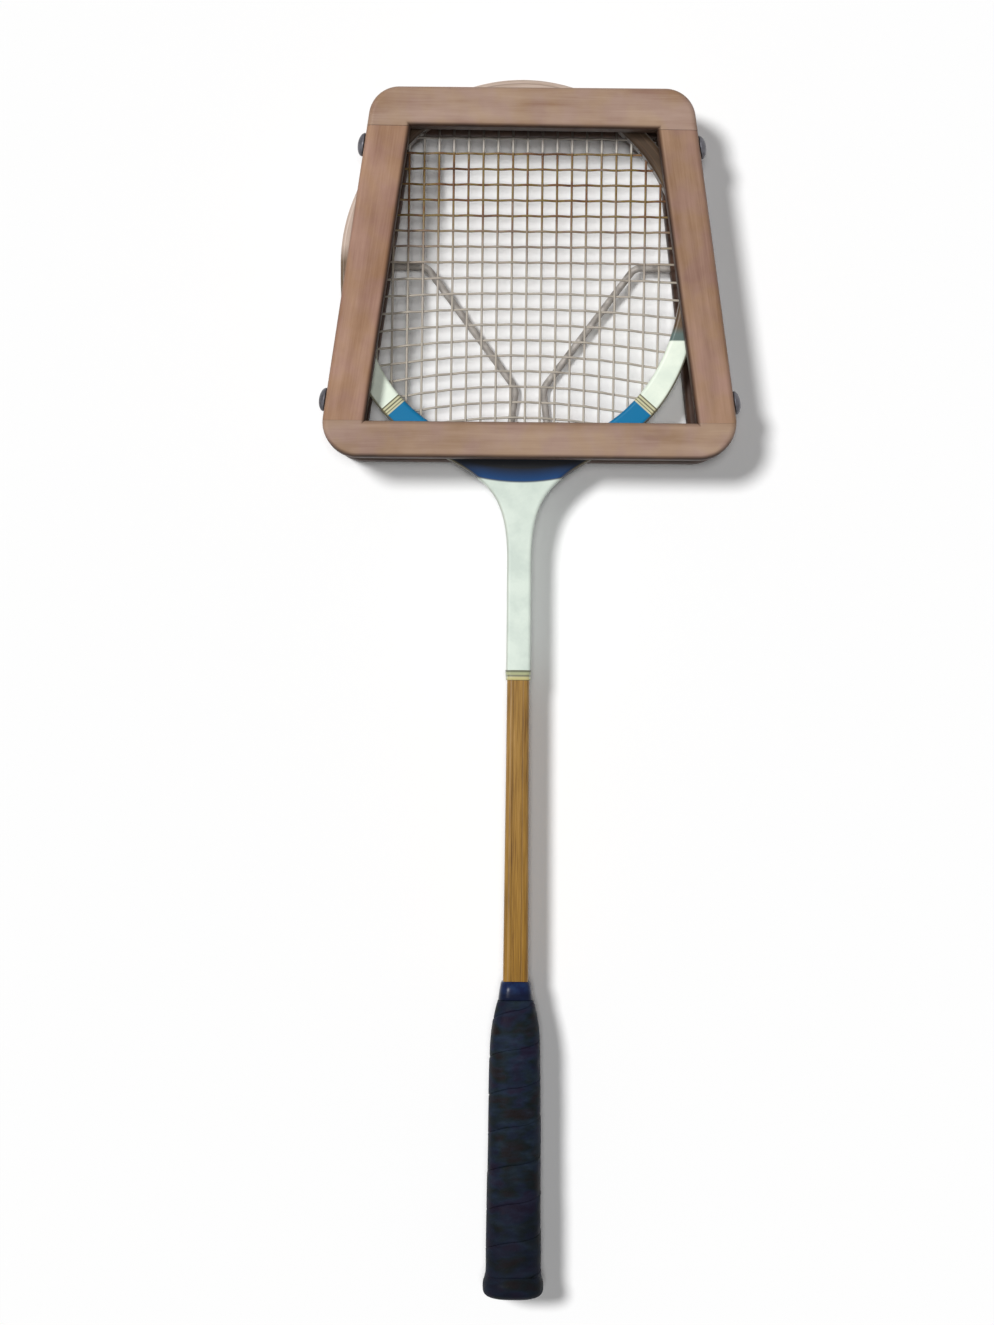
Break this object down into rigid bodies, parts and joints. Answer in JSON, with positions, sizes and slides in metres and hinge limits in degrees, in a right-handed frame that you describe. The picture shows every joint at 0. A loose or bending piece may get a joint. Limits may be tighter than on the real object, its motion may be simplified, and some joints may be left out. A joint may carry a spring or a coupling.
{
  "type": "squash racket in a press",
  "caption": "Wooden squash racket with a strung oval head, slim shaft and wrapped leather grip, clamped in a tapered wooden press that a bent wire lever opens.",
  "frame": {"origin": "centre of the bounding box at the press's back face, on the floor", "axes": "+Y from the butt to the head's tip, +X to the right seen from the front, +Z out of the press's front"},
  "size_m": [0.2358, 0.685, 0.054],
  "materials": {
    "press_wood": "satin varnish, worn",
    "bow_wood": "varnished bent ash with worn paint",
    "painted_wood": "gloss paint",
    "shaft_wood": "amber varnish",
    "binding_thread": "varnished thread",
    "grip_leather": "matte, worn",
    "collar_rubber": "gloss",
    "string_gut": "aged gut",
    "steel": "dulled"
  },
  "bodies": {
    "back_frame": {"back_top_bar": "press_wood", "back_bottom_bar": "press_wood", "back_left_bar": "press_wood", "back_right_bar": "press_wood"},
    "front_frame": {"front_top_bar": "press_wood", "front_bottom_bar": "press_wood", "front_left_bar": "press_wood", "front_right_bar": "press_wood", "side_strap_left": "steel", "side_strap_right": "steel", "rivet_upper_left": "steel", "rivet_upper_right": "steel", "rivet_lower_left": "steel", "rivet_lower_right": "steel"},
    "lever": {"lever_wire": "steel", "lever_cam_left": "steel", "lever_cam_right": "steel"},
    "racket": {"head_outer_bow": "bow_wood", "head_inner_bow": "bow_wood", "throat_cheek_left": "painted_wood", "throat_cheek_right": "painted_wood", "shaft_core": "shaft_wood", "shaft_left_strip": "shaft_wood", "shaft_right_strip": "shaft_wood", "shaft_binding": "binding_thread", "handle_pallet_front": "shaft_wood", "handle_pallet_back": "shaft_wood", "grip_wrap": "grip_leather", "grip_collar": "collar_rubber", "butt_cap": "grip_leather", "main_strings": "string_gut", "cross_strings": "string_gut"}
  },
  "joints": [
    {"name": "lever_hinge", "type": "hinge", "parent": "back_frame", "child": "lever", "pos_m": [0, 0.239, 0.01], "axis": [1, 0, 0], "range_deg": [0, 100]},
    {"name": "front_frame_lift", "type": "slide", "parent": "back_frame", "child": "front_frame", "axis": [0, 0, 1], "range_m": [0, 0.0042]},
    {"name": "racket_draw", "type": "slide", "parent": "back_frame", "child": "racket", "axis": [0, -1, 0], "range_m": [0, 0.23]}
  ],
  "couplings": [
    {"joint": "front_frame_lift", "follows": "lever_hinge", "m_per_rad": 0.00235}
  ]
}
